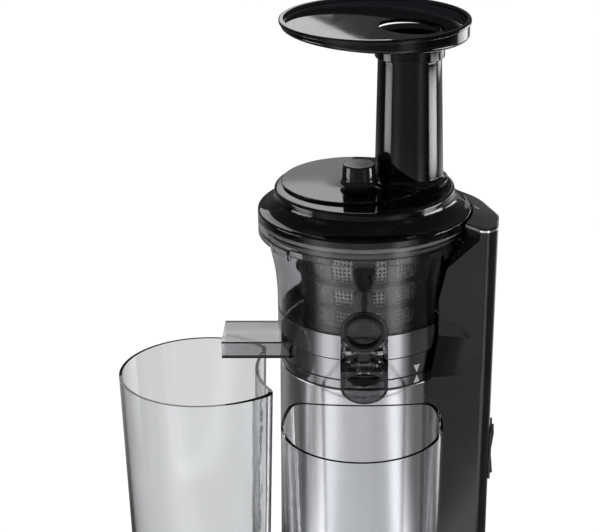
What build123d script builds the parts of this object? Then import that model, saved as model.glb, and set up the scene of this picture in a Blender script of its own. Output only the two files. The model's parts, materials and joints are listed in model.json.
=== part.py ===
from build123d import *
import math
import os

os.makedirs("parts", exist_ok=True)

# ---------------------------------------------------------------------------------------------
# Vertical cold press juicer.  Millimetres, +Z up, origin on the bowl's axis at table level,
# -Y is the front of the machine: juice leaves to the front right, pulp to the front left.
# ---------------------------------------------------------------------------------------------

# Directions round the bowl's axis, in degrees from +X
SPOUT_ANGLE = -40
CHUTE_ANGLE = -130
TUBE_ANGLE = 65
TRAY_ANGLE = 50

# Heights of the main levels
TOTAL_H = 433.0
FOOT_H = 2.6
SHELL_BOTTOM = 2.0
DECK_Z = 180.0
BOWL_Z = 187.0
FLOOR_Z = 209.3
SPLIT_Z = 291.2
LID_TOP_Z = 312.4
COLUMN_TOP_Z = 294.3

# Radii of the round body
BASE_R = 64.5
BASE_TOP_R = 62.2
RING_R = 61.5
BOWL_R = 63.2
SKIRT_R = 60.2
FLANGE_R = 76.0
DECK_BAND_WALL = 1.2

# Column behind the bowl
COLUMN_HALF_W = 90.4
COLUMN_FRONT_Y = 32.5
COLUMN_BACK_Y = 79.5
CORNER_R = 7.0
TAPER = 5.4
CAP_H = 2.2
TRIM_WALL = 1.0
WING_FOOT = (65.8, 6.5)
WING_HEAD = (63.5, 15.5)
WING_BEND = (183.0, 212.0)
WALL = 2.4

# Feed tube and tray
TUBE_OFFSET = 32.8
TUBE_R = 24.5
TUBE_TOP_R = 22.45
TUBE_WALL = 2.6
BOSS_R = 28.0
KNOB_AT = (5.4, -9.3)
TABLE_R = 52.1
TABLE_AT = (-9.2, -1.4)
TABLE_Z = 314.2
TUBE_TOP_Z = 417.5
TRAY_OFFSET = 7.5
TRAY_R = 66.3
TRAY_SLOPE = 3.15
TRAY_FLOOR_Z = 423.3
TRAY_WALL = 2.4

# Juice spout: mouth centre, outer radius and the downward tilt of its axis
MOUTH_X = 82.0
MOUTH_Z = 191.3
SPOUT_R = 16.4
SPOUT_BORE_R = 14.1
SPOUT_TILT = 21.0
CAP_REACH = 26.3
CAP_OPEN = 188.0

# Pulp chute: a flat box beside the axis
CHUTE_END_X = 102.0
CHUTE_Y = (-1.5, 37.0)
CHUTE_Z = (193.5, 206.3)
CHUTE_WALL = 1.8

# Pulp duct through the floor and the strainer's foot
DUCT_X = (19.5, 29.5)
DUCT_Y = (2.0, 21.5)

# Strainer, brush and screw radii at their foot and head
CONE_FOOT_Z = 216.0
CONE_HEAD_Z = 282.0
BRUSH_FOOT_R = 45.6
BRUSH_HEAD_R = 51.4
BRUSH_WALL = 2.4
STRAINER_FOOT_R = 41.8
STRAINER_HEAD_R = 47.6
STRAINER_WALL = 1.6
FLIGHT_PITCH = 48.0
FLIGHT_TOP_Z = 291.0
FLIGHT_TURNS = 1.42

# Gears: teeth and modules
MOTOR_MODULE = 0.9
PINION_TEETH = 10
WHEEL_TEETH = 56
GEAR_OFFSET = MOTOR_MODULE * (PINION_TEETH + WHEEL_TEETH) / 2
BRUSH_MODULE = 1.0
SUN_TEETH = 32
PLANET_TEETH = 24
RING_TEETH = 80
PLANET_OFFSET = BRUSH_MODULE * (SUN_TEETH + PLANET_TEETH) / 2
PLANET_ANGLE = 50

# Running clearances
RUN = 0.06

# Rocker switch on the column's rear right facet
SWITCH_AT = (78.7, 53.3, 116.0)
SWITCH_NORMAL = 46.5
SWITCH_LEAN = 1.1

# Cups: foot depth, half width and height
JUICE_CUP = {"far": 155.0, "half_width": 55.7, "centre_y": -1.5, "corner_y": 49.5, "hollow": (247.5, -180.5)}
PULP_CUP = {"far": 180.0, "half_width": 61.2, "centre_y": 9.4, "corner_y": 38.9, "hollow": (78.6, 0.0)}
CUP_H = 171.0
CUP_WALL = 2.2


# ---------------------------------------------------------------------------------------------
# Shape helpers
# ---------------------------------------------------------------------------------------------
def save(shape, name):
    """Write one sub-part under its node name."""
    shape.label = name
    export_step(shape, f"parts/{name}.step")


def outline(*corners):
    """A closed face through corners given as (x, y) or (x, y, radius)."""
    points = [corner[:2] for corner in corners]
    radii = [corner[2] if len(corner) > 2 else 0 for corner in corners]
    return make_face(FilletPolyline(*points, radius=radii, close=True))


def turned(*corners):
    """A solid of revolution about Z from (radius, height[, fillet]) corners."""
    return revolve(Plane.XZ * outline(*corners), Axis.Z)


def at_angle(angle):
    """A turn about the bowl's axis."""
    return Rot(0, 0, angle)


def block(x, y, z):
    """A box between two limits along each axis."""
    size = [high - low for low, high in (x, y, z)]
    middle = [(high + low) / 2 for low, high in (x, y, z)]
    return Pos(*middle) * Box(*size)


def disc(radius, z, thickness):
    """A round plate with its underside at z."""
    return Pos(0, 0, z) * Cylinder(radius, thickness, align=(Align.CENTER, Align.CENTER, Align.MIN))


def tube(outer, inner, z, height):
    """A straight round ring with its underside at z."""
    return disc(outer, z, height) - disc(inner, z - 1, height + 2)


def slab(face, z, height):
    """A flat face raised into a plate with its underside at z."""
    return Pos(0, 0, z) * extrude(face, height)


def side_plate(face, half_width):
    """An XZ profile carried along Y to both sides."""
    return extrude(Plane.XZ * face, half_width, both=True)


# ---------------------------------------------------------------------------------------------
# Base and column
# ---------------------------------------------------------------------------------------------
def narrowing(z):
    """How much narrower each side of the column is at a height than at its top."""
    return TAPER * (1 - z / COLUMN_TOP_Z)


def column_plan(inset=0.0, z=COLUMN_TOP_Z):
    """Plan of the column: flat front, round front corners, facets that close in to a flat back."""
    slim = narrowing(z)
    w = COLUMN_HALF_W - inset - slim
    front = COLUMN_FRONT_Y + inset
    back = COLUMN_BACK_Y - inset - 0.6 * slim
    shoulder = (w, 45.2 - 0.4 * inset, 8 - 0.5 * inset)
    flank = (72 - 0.75 * inset - 0.8 * slim, 64 - 0.75 * inset - 0.6 * slim, 25)
    rear = (34, back, 60)
    corner = (w, front, max(CORNER_R - inset, 1.0))
    right = [corner, shoulder, flank, rear]
    left = [(-x, y, bend) for x, y, bend in reversed(right)]
    return outline(*right, *left)


def wing_plan(start, inset=0.0, z=COLUMN_TOP_Z):
    """Plan of the wings: flat sides from beside the bowl that touch the column's round corners."""
    start_x, start_y = start[0] - 0.4 * inset, start[1] + inset
    centre_x = COLUMN_HALF_W - narrowing(z) - CORNER_R
    centre_y = COLUMN_FRONT_Y + CORNER_R
    across, deep = centre_x - start_x, centre_y - start_y
    reach = math.hypot(across, deep)
    slope = math.atan2(deep, across) - math.asin((CORNER_R - inset) / reach)
    run = math.sqrt(reach**2 - (CORNER_R - inset) ** 2)
    touch_x, touch_y = start_x + run * math.cos(slope), start_y + run * math.sin(slope)
    right = [(start_x, start_y), (touch_x, touch_y), (centre_x, 48)]
    left = [(-x, y) for x, y in reversed(right)]
    return make_face(Polyline(*right, *left, close=True))


def wings(inset, z, top):
    """Wings between two heights: they come forward at the base and lean back under the flange."""
    low, high = WING_BEND
    levels = ((z, WING_FOOT), (low, WING_FOOT), (high, WING_HEAD), (top, WING_HEAD))
    plans = [Pos(0, 0, level) * wing_plan(start, inset, level) for level, start in levels]
    solid = loft(plans, ruled=True)
    lean = outline(
        (0, -10),
        (0, 200),
        (WING_HEAD[1] + inset, 258, 12),
        (COLUMN_FRONT_Y + inset, 286, 6),
        (COLUMN_FRONT_Y + inset, 330),
        (130, 330),
        (130, -10),
    )
    return solid & extrude(Plane.YZ * lean, 110, both=True)


def bowl_recess(extra=0.0):
    """The hollow that the bowl drops into, wider at every level above."""
    return turned(
        (0, BOWL_Z - 0.5 - extra),
        (65.0 + extra, BOWL_Z - 0.5 - extra),
        (65.0 + extra, 238, 20),
        (71.6 + extra, 270, 10),
        (71.6 + extra, 276.4 - extra),
        (77.4 + extra, 276.4 - extra),
        (77.4 + extra, 330),
        (0, 330),
    )


def housing_blocks(inset, z, top):
    """Column and wings between two heights, each clear of the bowl's recess."""
    ends = [Pos(0, 0, level) * column_plan(inset, level) for level in (z, top)]
    column = loft(ends, ruled=True)
    return column - bowl_recess(inset), wings(inset, z, top) - bowl_recess(inset)


def switch_plane():
    """The facet that carries the switch, local x outward along the facet's normal."""
    return Pos(*SWITCH_AT) * Rot(0, 0, SWITCH_NORMAL) * Rot(0, SWITCH_LEAN, 0)


def rear_housing():
    """Black moulded shell: column, web and the space for the drive, open to the round base."""
    top = COLUMN_TOP_Z - CAP_H
    column, sides = housing_blocks(0, SHELL_BOTTOM, top)
    shell = column + sides
    for cavity in housing_blocks(WALL, SHELL_BOTTOM - 1, top - WALL):
        shell -= cavity
    shell -= disc(BASE_TOP_R - WALL, SHELL_BOTTOM - 1, 178)
    shell -= disc(BASE_R - WALL, SHELL_BOTTOM - 1, 6)
    shell -= turned((0, 1), (BASE_R + 0.1, 1), (BASE_TOP_R + 0.1, DECK_Z - 0.4), (0, DECK_Z - 0.4)) \
        - block((-90, 90), (WING_FOOT[1] + 1.2, 90), (0, 190))
    shell -= disc(RING_R + 0.15, DECK_Z - 2.6, 12)
    shell -= switch_plane() * block((-8, 4), (-8.5, 8.5), (-20, 20))
    shell -= Pos(0, COLUMN_BACK_Y - 0.6 * narrowing(24), 24) * Rot(90, 0, 0) * Cylinder(5.1, 12)
    for z in range(14, 50, 6):
        for x in (-46, 46):
            shell -= Pos(x, 78, z + 6) * Rot(0, 0, -math.copysign(13, x)) * Box(22, 14, 2.2)
    return shell


def column_cap():
    """Gloss lid of the column, with a softened top edge."""
    cap = slab(column_plan(TRIM_WALL), COLUMN_TOP_Z - CAP_H, CAP_H)
    cap = chamfer(cap.faces().sort_by(Axis.Z)[-1].edges(), 0.6)
    return cap - bowl_recess()


def column_trim():
    """Thin bright band on the housing's top edge, round the cap."""
    ring = column_plan(0) - column_plan(TRIM_WALL - 0.02)
    return slab(ring, COLUMN_TOP_Z - CAP_H, 1.4) - bowl_recess()


def front_shell():
    """Satin metal sleeve round the front of the base, slightly wider at the foot."""
    sleeve = turned(
        (BASE_R - WALL, SHELL_BOTTOM),
        (BASE_R, SHELL_BOTTOM, 0.8),
        (BASE_TOP_R, DECK_Z - 0.5, 0.8),
        (BASE_TOP_R - WALL, DECK_Z - 0.5),
    )
    return sleeve - block((-90, 90), (WING_FOOT[1] + 1.2, 90), (0, 190))


def deck():
    """Round table that the bowl locks on to, with the drive boss and three locking lugs."""
    plate = turned(
        (8 + RUN, DECK_Z),
        (RING_R - DECK_BAND_WALL, DECK_Z),
        (RING_R - DECK_BAND_WALL, BOWL_Z - 0.4),
        (RING_R - 6, BOWL_Z - 0.4),
        (RING_R - 8, BOWL_Z - 2.4),
        (22, BOWL_Z - 2.4, 2),
        (20, 192.4, 1.5),
        (8 + RUN, 192.4),
    )
    for turn in (20, 140, 260):
        plate += at_angle(turn) * block((44, 51), (-5, 5), (BOWL_Z - 3, BOWL_Z + 3))
    for x, y in POST_PLACES:
        plate -= Pos(x, y, DECK_Z + 1) * Cylinder(1.6, 6)
    return plate


POST_PLACES = ((46, -24), (-46, -24), (40, 36), (-40, 36))


def deck_band():
    """Thin metal band round the deck, under the bowl's foot."""
    edge = 0.3
    return turned(
        (RING_R - DECK_BAND_WALL, DECK_Z + 0.1),
        (RING_R - edge, DECK_Z + 0.1),
        (RING_R, DECK_Z + 0.1 + edge),
        (RING_R, BOWL_Z - 0.4 - edge),
        (RING_R - edge, BOWL_Z - 0.4),
        (RING_R - DECK_BAND_WALL, BOWL_Z - 0.4),
    )


def bottom_cover():
    """Floor of the base with vent slots under the motor and the screw holes."""
    inset = WALL + 0.3
    plan = Circle(BASE_R - inset) + column_plan(inset, 0) + wing_plan(WING_FOOT, inset, 0)
    cover = slab(plan, FOOT_H, 2.6)
    for x in range(-24, 25, 8):
        cover -= block((x - 1.6, x + 1.6), (-16, 16), (0, 8))
    for x, y in POST_PLACES:
        cover -= Pos(x, y, 4) * Cylinder(2.1, 8)
    return cover


def foot_ring():
    """Soft ring that follows the footprint and carries the machine."""
    outer = Circle(BASE_R - 3.5) + column_plan(6, 0) + wing_plan(WING_FOOT, 6, 0)
    inner = offset(outer, -5)
    return slab(outer - inner, 0, FOOT_H)


def case_screws():
    """Four pan-head screws that hold the cover to the posts."""
    screws = []
    for x, y in POST_PLACES:
        head = disc(3.4, 0.9, FOOT_H - 0.9)
        shank = disc(1.5, FOOT_H - 0.01, 12)
        screws.append(Pos(x, y, 0) * (head + shank))
    return Compound(children=screws)


# ---------------------------------------------------------------------------------------------
# Drive inside the base
# ---------------------------------------------------------------------------------------------
def chassis_posts():
    """Four tubes that tie cover, motor plates and deck together."""
    posts = []
    for x, y in POST_PLACES:
        posts.append(Pos(x, y, 0) * tube(3.5, 1.6, FOOT_H + 2.6, DECK_Z - FOOT_H - 2.6))
    return Compound(children=posts)


def motor_plate(z, thickness, bore):
    """Plate across the four posts with a bearing hub in the middle."""
    face = outline((52, -30, 6), (46, 42, 6), (-46, 42, 6), (-52, -30, 6))
    plate = slab(face, z, thickness) + disc(9, z - 1.5, thickness + 1.5)
    plate -= disc(bore + RUN, z - 5, thickness + 10)
    for x, y in POST_PLACES:
        plate -= Pos(x, y, z) * Cylinder(3.55, 4 * thickness)
    return plate


def motor_can():
    """Steel can between the plates, with slots for cooling air."""
    can = tube(46, 44.6, 17.5, 74.5)
    for turn in range(0, 180, 45):
        can -= at_angle(turn) * block((-60, 60), (-6, 6), (21, 28))
    return can


def motor_stator():
    """Laminated ring with twelve inward teeth round the rotor."""
    stack = tube(44.6, 36, 30, 50)
    for turn in range(0, 360, 30):
        stack += at_angle(turn) * block((23.5, 37), (-3.2, 3.2), (30, 80))
    return stack


def motor_windings():
    """Copper coil heads above and below the stack."""
    lower = turned((26, 22, 2), (36, 22, 2), (36, 30), (26, 30))
    upper = turned((26, 80), (36, 80), (36, 88, 2), (26, 88, 2))
    return Compound(children=[lower, upper])


def gear_face(teeth, module, inward=False):
    """Straight-flanked spur teeth; inward gives the hole of a ring gear."""
    pitch_r = teeth * module / 2
    step = 2 * math.pi / teeth
    if inward:
        low, high = pitch_r - 0.95 * module, pitch_r + 1.15 * module
        inner_half, outer_half = 0.32, 0.23
    else:
        low, high = pitch_r - 1.15 * module, pitch_r + 0.95 * module
        inner_half, outer_half = 0.31, 0.13
    points = []
    for tooth in range(teeth):
        middle = tooth * step
        flanks = ((low, -inner_half), (high, -outer_half), (high, outer_half), (low, inner_half))
        for radius, part in flanks:
            angle = middle + part * step
            points.append((radius * math.cos(angle), radius * math.sin(angle)))
    return make_face(Polyline(*points, close=True))


def motor_rotor():
    """Rotor cage on its shaft, with the first pinion cut on the shaft's end."""
    shaft = disc(4, 13, 88)
    cage = turned((3.9, 29, 1), (22.8, 29, 1), (22.8, 81, 1), (3.9, 81, 1))
    pinion = slab(gear_face(PINION_TEETH, MOTOR_MODULE), 100.8, 11)
    return shaft + cage + pinion


def mesh_turn(driver_teeth, driven_teeth, angle, driver_turn=0.0):
    """Turn of a driven wheel so that its gap faces the driver's tooth along the line of centres."""
    at_driver = (angle - driver_turn) / (360 / driver_teeth)
    phase = at_driver - math.floor(at_driver)
    return angle + 180 + (phase + 0.5) * 360 / driven_teeth


def idler_gear():
    """Large wheel and small pinion moulded as one, on a fixed pin."""
    wheel = slab(gear_face(WHEEL_TEETH, MOTOR_MODULE), 102, 8)
    pinion = slab(gear_face(PINION_TEETH, MOTOR_MODULE), 109.9, 16)
    hub = disc(5.2, 100, 10)
    turn = mesh_turn(PINION_TEETH, WHEEL_TEETH, 90)
    gear = wheel + hub + pinion - disc(2.5 + RUN, 90, 60)
    return Pos(0, GEAR_OFFSET, 0) * at_angle(turn) * gear


def output_shaft():
    """Output wheel, its shaft and the hexagon that drives the screw."""
    idler_turn = mesh_turn(PINION_TEETH, WHEEL_TEETH, 90)
    turn = mesh_turn(PINION_TEETH, WHEEL_TEETH, -90, idler_turn)
    wheel = slab(gear_face(WHEEL_TEETH, MOTOR_MODULE), 114, 10)
    shaft = disc(8, 113, 84)
    hexagon = slab(RegularPolygon(5.5, 6, major_radius=False), 196.9, 20)
    hexagon = chamfer(hexagon.faces().sort_by(Axis.Z)[-1].edges(), 0.8)
    return at_angle(turn) * wheel + shaft + hexagon


def gearbox_plan(extra):
    """Pear-shaped plan round both gear centres."""
    return make_hull(
        (Circle(28.5 + extra).edges()) + (Pos(0, GEAR_OFFSET) * Circle(28.5 + extra)).edges()
    )


def gearbox_case():
    """Open tub that holds the two gear stages."""
    tub = slab(gearbox_plan(2.5), 96, 38) - slab(gearbox_plan(0), 99, 40)
    tub -= disc(4.6, 90, 20)
    tub -= Pos(0, GEAR_OFFSET, 0) * disc(2.5, 90, 20)
    return tub


def gearbox_lid():
    """Lid of the gearbox with the long bearing of the output shaft."""
    lid = slab(gearbox_plan(2.5), 134, 3) + disc(13, 136.9, 18)
    lid -= disc(8 + RUN, 130, 40)
    lid -= Pos(0, GEAR_OFFSET, 0) * disc(2.5, 130, 20)
    return lid


def idler_pin():
    """Fixed steel pin of the idler wheel."""
    return Pos(0, GEAR_OFFSET, 0) * disc(2.5, 96, 41)


def capacitor():
    """Run capacitor standing on the cover in the column's foot."""
    can = disc(13, FOOT_H + 2.6, 46)
    can = fillet(can.faces().sort_by(Axis.Z)[-1].edges(), 2)
    posts = block((-6, -4), (-3, 3), (50, 58)) + block((4, 6), (-3, 3), (50, 58))
    return Pos(60, 46, 0) * (can + posts)


def interlock_switch():
    """Small switch under the deck that the locked bowl closes."""
    body = block((-10, 10), (44, 52), (DECK_Z - 8, DECK_Z))
    return body + block((-1.5, 1.5), (46, 49), (DECK_Z - 12, DECK_Z - 7.9))


def deck_seal():
    """Lip seal round the output shaft on top of the boss."""
    return turned((8 + RUN, 192.4), (13, 192.4), (13, 194, 0.6), (8.6, 195.4), (8 + RUN, 195.4))


def switch_frame():
    """Bezel and box of the rocker switch, pushed into the facet."""
    box = block((-22, 0.1), (-8.2, 8.2), (-19.6, 19.6))
    bezel = extrude(Plane.YZ * RectangleRounded(20, 43, 3.5), 1.5)
    frame = box + bezel
    frame -= block((-7.4, 5), (-6.6, 6.6), (-18.2, 18.2))
    frame -= Pos(-3, 0, 0) * Rot(90, 0, 0) * Cylinder(1.5 + RUN, 15.2)
    return switch_plane() * frame


def rocker():
    """Three-position rocker: two raised ends, a dished middle and its pivot pins."""
    top = ((0.6, -17, 0.8), (3.2, -17, 0.8), (1.3, 0, 30), (3.2, 17, 0.8), (0.6, 17, 0.8))
    face = outline((-5, -11.5), *top, (-5, 11.5))
    body = side_plate(face, 6.3)
    pins = Pos(-3, 0, 0) * Rot(90, 0, 0) * Cylinder(1.5, 14.8)
    return switch_plane() * (body + pins)


def cord_gland():
    """Rubber bush in the back wall where a supply cord would enter."""
    face = outline(
        (3.4, -6),
        (6.9, -6, 0.8),
        (6.9, -2.6, 0.8),
        (5, -2.6),
        (5, 0.1),
        (7.2, 0.1, 0.8),
        (7.2, 2.0, 0.8),
        (3.4, 2.0),
    )
    bush = revolve(Plane.XZ * face, Axis.Z)
    return Pos(0, COLUMN_BACK_Y - 0.6 * narrowing(24), 24) * Rot(-90, 0, 0) * bush


# ---------------------------------------------------------------------------------------------
# Bowl with spout and chute
# ---------------------------------------------------------------------------------------------
def mouth_frame():
    """Plane of the spout's mouth in the spout's own frame: local z along the outgoing axis."""
    tilt = math.radians(SPOUT_TILT)
    return Plane(
        origin=(MOUTH_X, 0, MOUTH_Z),
        x_dir=(0, 1, 0),
        z_dir=(math.cos(tilt), 0, -math.sin(tilt)),
    )


def hinge_point():
    """Place of the cap's pin in the spout's own frame."""
    tilt = math.radians(SPOUT_TILT)
    x = MOUTH_X + CAP_REACH * math.sin(tilt) + 1.5 * math.cos(tilt)
    z = MOUTH_Z + CAP_REACH * math.cos(tilt) - 1.5 * math.sin(tilt)
    return x, z


def spout():
    """Nose of the spout: a round mouth under a straight-sided housing, with two hinge ears."""
    barrel = mouth_frame() * extrude(Circle(SPOUT_R), -32)
    side = outline((50, 191), (82, 191), (87.6, 206, 1), (86.4, 212, 2), (80, 215.6, 3), (50, 215.6))
    cheek = side_plate(side, SPOUT_R)
    hinge_x, hinge_z = hinge_point()
    ear = side_plate(outline((80, 208), (87, 208), (95.6, 215.1, 2.5), (91.2, 219.2, 2.5), (80, 215)), 7.2)
    ear -= side_plate(outline((86, 203), (98, 203), (98, 223), (86, 223)), 3.9)
    ear -= Pos(hinge_x, 0, hinge_z) * Rot(90, 0, 0) * Cylinder(1.2, 30)
    nose = barrel + cheek - disc(RING_R + 1.4, 150, BOWL_Z - 150)
    nose -= disc(SKIRT_R - 1, BOWL_Z - 1, 17) + disc(SKIRT_R + 1, 202, 60)
    return at_angle(SPOUT_ANGLE) * (nose + ear - spout_inner()) - bowl_wall()


def spout_inner():
    """Way of the juice: through the floor into the sump and out of the mouth."""
    bore = mouth_frame() * extrude(Circle(SPOUT_BORE_R), -15)
    bore += mouth_frame() * extrude(Circle(SPOUT_BORE_R), 5)
    channel = block((50, 72), (-13, 13), (190.4, FLOOR_Z + 3))
    return bore + channel


def chute_outer():
    """Outside of the pulp channel."""
    return block((17.5, CHUTE_END_X), CHUTE_Y, CHUTE_Z)


def chute():
    """Square pulp channel that hangs under the bowl's floor and ends open, clear of the base."""
    return at_angle(CHUTE_ANGLE) * (chute_outer() - chute_inner())


def chute_inner():
    """Way of the pulp: down the duct and out of the open end."""
    y = (CHUTE_Y[0] + CHUTE_WALL, CHUTE_Y[1] - CHUTE_WALL)
    z = (CHUTE_Z[0] + CHUTE_WALL, CHUTE_Z[1] - CHUTE_WALL)
    channel = block((19.3, CHUTE_END_X + 5), y, z)
    mouth_x = (DUCT_X[0] - 1.3, DUCT_X[1] + 1.3)
    mouth_y = (DUCT_Y[0] - 1.3, DUCT_Y[1] + 1.3)
    return channel + block(mouth_x, mouth_y, (z[0], FLOOR_Z + 2))


def bowl_wall():
    """Round walls of the bowl: skirt, flared side, flange, floor and hub with the bearing."""
    return turned(
        (58.0, BOWL_Z),
        (SKIRT_R, BOWL_Z),
        (SKIRT_R, 202.6),
        (62.0, 203.2),
        (62.0, 221.8),
        (BOWL_R, 222.2),
        (BOWL_R, 234, 40),
        (64.4, 250, 60),
        (67.6, 266, 40),
        (70.6, 277.2, 3),
        (FLANGE_R, 278.4, 1.2),
        (FLANGE_R, SPLIT_Z - 0.3, 0.8),
        (71.6, SPLIT_Z - 0.3),
        (71.6, 283.2),
        (68.4, 281.0),
        (65.2, 266, 40),
        (62.0, 250, 60),
        (60.8, 234, 40),
        (60.8, FLOOR_Z, 3),
        (12.4, FLOOR_Z, 1),
        (12.4, 220.2),
        (8.0 + RUN, 220.2),
        (8.0 + RUN, 199.6),
        (11.6, 199.6),
        (11.6, 206.3, 1),
        (58.0, 206.3),
    )

def bowl():
    """Smoky bowl with its juice sump, lugs for the lid and the planet gear's post."""
    sump = block((47.5, 61), (-15.5, 15.5), (BOWL_Z, FLOOR_Z - 1)) & disc(SKIRT_R - 1, BOWL_Z, 30)
    body = bowl_wall() + at_angle(SPOUT_ANGLE) * sump
    body -= at_angle(SPOUT_ANGLE) * spout_inner()
    body -= at_angle(CHUTE_ANGLE) * (chute_outer() + chute_inner())
    for turn in (-105, 15, 135):
        body += at_angle(turn) * bayonet_lug()
    post = Pos(PLANET_OFFSET, 0, 0) * disc(4, FLOOR_Z - 0.5, 4.4)
    return body + at_angle(PLANET_ANGLE) * post


def bayonet_lug():
    """Locking lug under the flange, a curved block with a sloping foot."""
    profile = outline((66, 269), (70.9, 272, 1), (70.9, 279), (66, 279))
    return revolve(Plane.XZ * profile, Axis.Z, 16)


def band(radius, inner, low, high):
    """Metal band round the bowl's foot, open for the spout and the chute."""
    edge = 0.4
    lower = ((inner, low), (radius - edge, low), (radius, low + edge))
    upper = ((radius, high - edge), (radius - edge, high), (inner, high))
    ring = turned(*lower, *upper)
    ring -= at_angle(SPOUT_ANGLE) * block((40, 90), (-SPOUT_R - 0.1, SPOUT_R + 0.1), (low - 1, high + 1))
    room = block((40, 90), (CHUTE_Y[0] - 0.1, CHUTE_Y[1] + 0.1), (CHUTE_Z[0] - 0.1, CHUTE_Z[1] + 0.1))
    return ring - at_angle(CHUTE_ANGLE) * room


def hub_seal():
    """Ring seal on the hub's top, round the screw's journal."""
    return turned((8.0 + RUN, 220.2), (12.4, 220.2), (12.4, 221.6, 0.5), (8.0 + RUN, 222.2))


def cap_pin():
    """Steel pin of the juice cap's hinge."""
    x, z = hinge_point()
    return at_angle(SPOUT_ANGLE) * Pos(x, 0, z) * Rot(90, 0, 0) * Cylinder(1.2, 14.4)


def cap_parts():
    """Juice cap and its seal, shut over the mouth, in the spout's own frame."""
    x, z = hinge_point()
    dish = extrude(Circle(SPOUT_R), 2.2)
    dish = fillet(dish.faces().sort_by(Axis.Z)[-1].edges(), 1.2)
    arm = Pos(0, CAP_REACH / 2 + 5, 1.1) * Box(2 * 3.5, CAP_REACH - 10, 2.2)
    cap = mouth_frame().offset(0.6) * (dish + arm)
    cap += Pos(x, 0, z) * Rot(90, 0, 0) * Cylinder(2.4, 7.0)
    cap -= Pos(x, 0, z) * Rot(90, 0, 0) * Cylinder(1.2 + RUN, 9.0)
    ring = extrude(Circle(SPOUT_BORE_R - 0.5) - Circle(SPOUT_BORE_R - 2.5), 3.0)
    seal = mouth_frame().offset(-2.4) * ring
    return cap, seal


def opened(shape):
    """Swing a shut cap piece up to its rest place above the mouth."""
    x, z = hinge_point()
    swung = Pos(x, 0, z) * Rot(0, -CAP_OPEN, 0) * Pos(-x, 0, -z) * shape
    return at_angle(SPOUT_ANGLE) * swung


# ---------------------------------------------------------------------------------------------
# Strainer, brush and screw
# ---------------------------------------------------------------------------------------------
def cone_r(foot, head, z):
    """Radius of a wall that widens evenly from the cone's foot to its head."""
    return foot + (head - foot) * (z - CONE_FOOT_Z) / (CONE_HEAD_Z - CONE_FOOT_Z)


def cone_wall(foot, head, wall, low, high):
    """Conical wall between two heights; foot and head are outer radii."""
    return turned(
        (cone_r(foot, head, low) - wall, low),
        (cone_r(foot, head, low), low),
        (cone_r(foot, head, high), high),
        (cone_r(foot, head, high) - wall, high),
    )


def windows(radius, width, count, low, high, start=0.0):
    """Radial cutters spread evenly round the wall."""
    cutters = []
    for number in range(count):
        turn = start + number * 360 / count
        cutter = block((radius - 12, radius + 12), (-width / 2, width / 2), (low, high))
        cutters.append(at_angle(turn) * cutter)
    return cutters


def strainer_frame():
    """Ribbed strainer frame: head rim on the bowl's ledge, windows, floor and pulp duct."""
    frame = cone_wall(STRAINER_FOOT_R, STRAINER_HEAD_R, STRAINER_WALL, 214.2, 283.4)
    for cutter in windows(44, 15.5, 12, 221, 248) + windows(44, 17, 12, 251, 277):
        frame -= cutter
    rim = ((66, 283.4), (66, 281.9, 0.4), (68.2, 281.9), (68.2, 285.2, 0.5))
    frame += turned((46.2, 283.4), *rim, (46.2, 285.2, 0.5))
    floor = tube(STRAINER_FOOT_R - 0.5, 17.6, 214.2, 2.0)
    duct = block((DUCT_X[0] - 1, DUCT_X[1] + 1), (DUCT_Y[0] - 1, DUCT_Y[1] + 1), (FLOOR_Z - 1.8, 215))
    hole = block(DUCT_X, DUCT_Y, (FLOOR_Z - 4, 218))
    return frame + at_angle(CHUTE_ANGLE) * (floor + duct - hole)


def strainer_mesh():
    """Fine screen that lines the frame's windows."""
    inner_foot, inner_head = STRAINER_FOOT_R - STRAINER_WALL, STRAINER_HEAD_R - STRAINER_WALL
    return cone_wall(inner_foot, inner_head, 0.5, 217, 281)


def brush_frame():
    """Rotating cage with three rows of windows, driven by the ring gear at its foot."""
    cage = cone_wall(BRUSH_FOOT_R, BRUSH_HEAD_R, BRUSH_WALL, 213.6, 279.5)
    for low, high in ((219, 233), (236, 252), (255, 274)):
        for cutter in windows(48, 36, 6, low, high):
            cage -= cutter
    ring = disc(BRUSH_FOOT_R - 0.2, FLOOR_Z + 0.5, 4.0)
    ring -= slab(gear_face(RING_TEETH, BRUSH_MODULE, inward=True), FLOOR_Z, 6)
    return cage + ring


def brush_wipers():
    """Three soft wiping strips between the brush posts and the strainer."""
    strips = []
    for turn in (30, 150, 270):
        face = outline(
            (cone_r(BRUSH_FOOT_R, BRUSH_HEAD_R, 219) - BRUSH_WALL - 0.06, 219),
            (cone_r(BRUSH_FOOT_R, BRUSH_HEAD_R, 274) - BRUSH_WALL - 0.06, 274),
            (cone_r(STRAINER_FOOT_R, STRAINER_HEAD_R, 274) + 0.35, 274),
            (cone_r(STRAINER_FOOT_R, STRAINER_HEAD_R, 219) + 0.35, 219),
        )
        strips.append(at_angle(turn) * side_plate(face, 1.1))
    return Compound(children=strips)


def brush_gear():
    """Small wheel between the screw's sun gear and the brush's ring gear."""
    wheel = slab(gear_face(PLANET_TEETH, BRUSH_MODULE), FLOOR_Z + 0.6, 3.7)
    wheel -= disc(4 + RUN, FLOOR_Z, 6)
    turn = mesh_turn(SUN_TEETH, PLANET_TEETH, PLANET_ANGLE)
    return at_angle(PLANET_ANGLE) * Pos(PLANET_OFFSET, 0, 0) * at_angle(turn - PLANET_ANGLE) * wheel


def ring_turn():
    """Turn of the brush that puts its ring gear in mesh with the small wheel."""
    planet = mesh_turn(SUN_TEETH, PLANET_TEETH, PLANET_ANGLE)
    step = 360 / PLANET_TEETH
    offset_in_planet = ((PLANET_ANGLE - planet) / step) % 1.0
    return PLANET_ANGLE - offset_in_planet * 360 / RING_TEETH


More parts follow.
